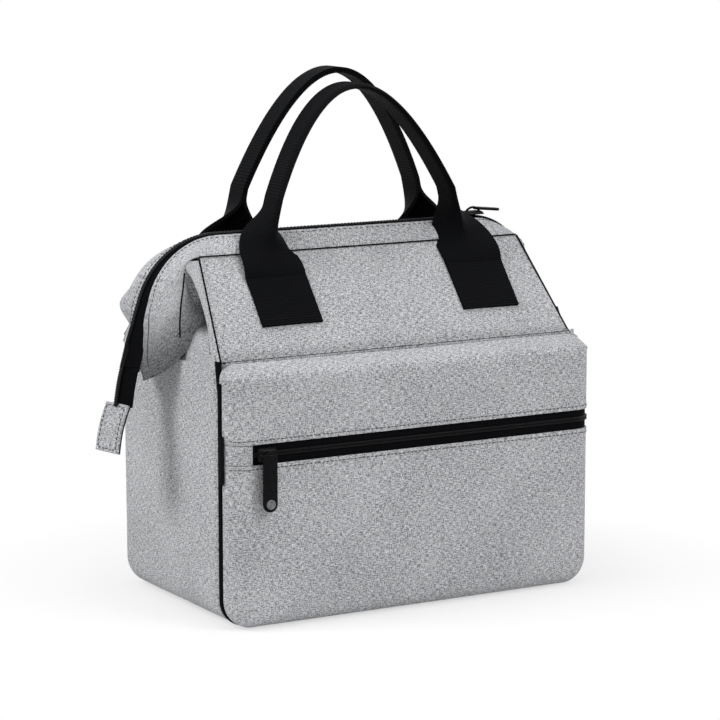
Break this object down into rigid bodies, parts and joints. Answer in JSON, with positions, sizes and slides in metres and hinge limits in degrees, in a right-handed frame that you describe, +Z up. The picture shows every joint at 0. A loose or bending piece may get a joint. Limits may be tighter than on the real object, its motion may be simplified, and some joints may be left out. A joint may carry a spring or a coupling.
{
  "type": "insulated lunch bag",
  "caption": "Soft insulated lunch bag with a wire-framed zip mouth that opens wide, folded ears at the sides, a zipped front pocket and webbing carry handles.",
  "frame": {"origin": "centre of the bag's base on the surface that it stands on", "axes": "+Z up, +X across the bag to the right seen from the pocket, +Y from the pocket to the back"},
  "size_m": [0.32, 0.1465, 0.3035],
  "materials": {
    "grey_cloth": "heathered woven polyester, matt",
    "foam": "closed-cell insulating foam",
    "foil_liner": "aluminised foil lining, soft sheen",
    "board": "stiff sheet",
    "black_trim": "woven tape",
    "pocket_lining": "plain taffeta",
    "zip_tape": "woven zip tape",
    "zip_coil": "nylon coil",
    "frame_steel": "sprung wire",
    "webbing": "ribbed webbing",
    "black_metal": "black lacquer"
  },
  "bodies": {
    "tub": {"left_side_panel": "grey_cloth", "left_foam": "foam", "right_side_panel": "grey_cloth", "right_foam": "foam", "base_panel": "grey_cloth", "base_foam": "foam", "front_panel": "grey_cloth", "back_panel": "grey_cloth", "front_foam": "foam", "back_foam": "foam", "tub_liner": "foil_liner", "base_board": "board", "front_piping": "black_trim", "pocket_lower_panel": "grey_cloth", "pocket_upper_panel": "grey_cloth", "pocket_zip_stop": "grey_cloth", "pocket_zip_lower_tape": "zip_tape", "pocket_zip_upper_tape": "zip_tape", "pocket_zip_teeth": "zip_coil", "pocket_lining": "pocket_lining", "side_tag": "black_trim", "left_front_gusset": "grey_cloth", "left_back_gusset": "grey_cloth", "right_front_gusset": "grey_cloth", "right_back_gusset": "grey_cloth"},
    "front_mouth": {"front_mouth_panel": "grey_cloth", "front_mouth_foam": "foam", "front_mouth_liner": "foil_liner", "front_band": "grey_cloth", "front_frame_wire": "frame_steel", "front_zip_tape": "zip_tape", "front_zip_teeth": "zip_coil", "front_left_foot": "webbing", "front_right_foot": "webbing"},
    "back_mouth": {"back_mouth_panel": "grey_cloth", "back_mouth_foam": "foam", "back_mouth_liner": "foil_liner", "back_band": "grey_cloth", "back_frame_wire": "frame_steel", "back_zip_tape": "zip_tape", "back_zip_teeth": "zip_coil", "back_left_foot": "webbing", "back_right_foot": "webbing"},
    "front_handle_loop": {"front_handle": "webbing"},
    "back_handle_loop": {"back_handle": "webbing"},
    "left_tail": {"left_zip_tail": "zip_tape", "left_zip_tab": "grey_cloth"},
    "right_tail": {"right_zip_tail": "zip_tape", "right_zip_tab": "grey_cloth"},
    "main_zip_slider": {"main_slider": "black_metal"},
    "main_zip_pull": {"main_pull": "black_metal"},
    "pocket_zip_slider": {"pocket_slider": "black_metal"},
    "pocket_zip_pull": {"pocket_pull": "black_metal", "pull_rivet": "black_metal"}
  },
  "joints": [
    {"name": "front_mouth_hinge", "type": "hinge", "parent": "tub", "child": "front_mouth", "pos_m": [0, -0.053, 0.1503], "axis": [1, 0, 0], "range_deg": [0, 35], "deforming": ["left_front_gusset", "right_front_gusset"]},
    {"name": "back_mouth_hinge", "type": "hinge", "parent": "tub", "child": "back_mouth", "pos_m": [0, 0.069, 0.1503], "axis": [1, 0, 0], "range_deg": [-35, 0], "deforming": ["left_back_gusset", "right_back_gusset"]},
    {"name": "left_tail_rise", "type": "slide", "parent": "tub", "child": "left_tail", "axis": [0, 0, 1], "range_m": [0, 0.0365]},
    {"name": "right_tail_rise", "type": "slide", "parent": "tub", "child": "right_tail", "axis": [0, 0, 1], "range_m": [0, 0.0365]},
    {"name": "front_handle_swing", "type": "hinge", "parent": "front_mouth", "child": "front_handle_loop", "pos_m": [0, -0.02246, 0.19], "axis": [1, 0, 0], "range_deg": [0, 100]},
    {"name": "back_handle_swing", "type": "hinge", "parent": "back_mouth", "child": "back_handle_loop", "pos_m": [0, 0.04848, 0.178], "axis": [1, 0, 0], "range_deg": [-100, 0]},
    {"name": "main_slider_run", "type": "slide", "parent": "front_mouth", "child": "main_zip_slider", "axis": [1, 0, 0], "range_m": [-0.168, 0]},
    {"name": "main_pull_lift", "type": "hinge", "parent": "main_zip_slider", "child": "main_zip_pull", "pos_m": [0.084, 0.008, 0.2178], "axis": [0, 1, 0], "range_deg": [0, 170]},
    {"name": "pocket_slider_run", "type": "slide", "parent": "tub", "child": "pocket_zip_slider", "axis": [1, 0, 0], "range_m": [0, 0.19], "deforming": ["pocket_zip_lower_tape", "pocket_zip_upper_tape", "pocket_zip_teeth"]},
    {"name": "pocket_pull_swing", "type": "hinge", "parent": "pocket_zip_slider", "child": "pocket_zip_pull", "pos_m": [-0.099, -0.0744, 0.1], "axis": [0, 1, 0], "range_deg": [-90, 90]}
  ],
  "couplings": [
    {"joint": "back_mouth_hinge", "follows": "front_mouth_hinge", "ratio": -1},
    {"joint": "left_tail_rise", "follows": "front_mouth_hinge", "m_per_rad": 0.059},
    {"joint": "right_tail_rise", "follows": "front_mouth_hinge", "m_per_rad": 0.059}
  ]
}
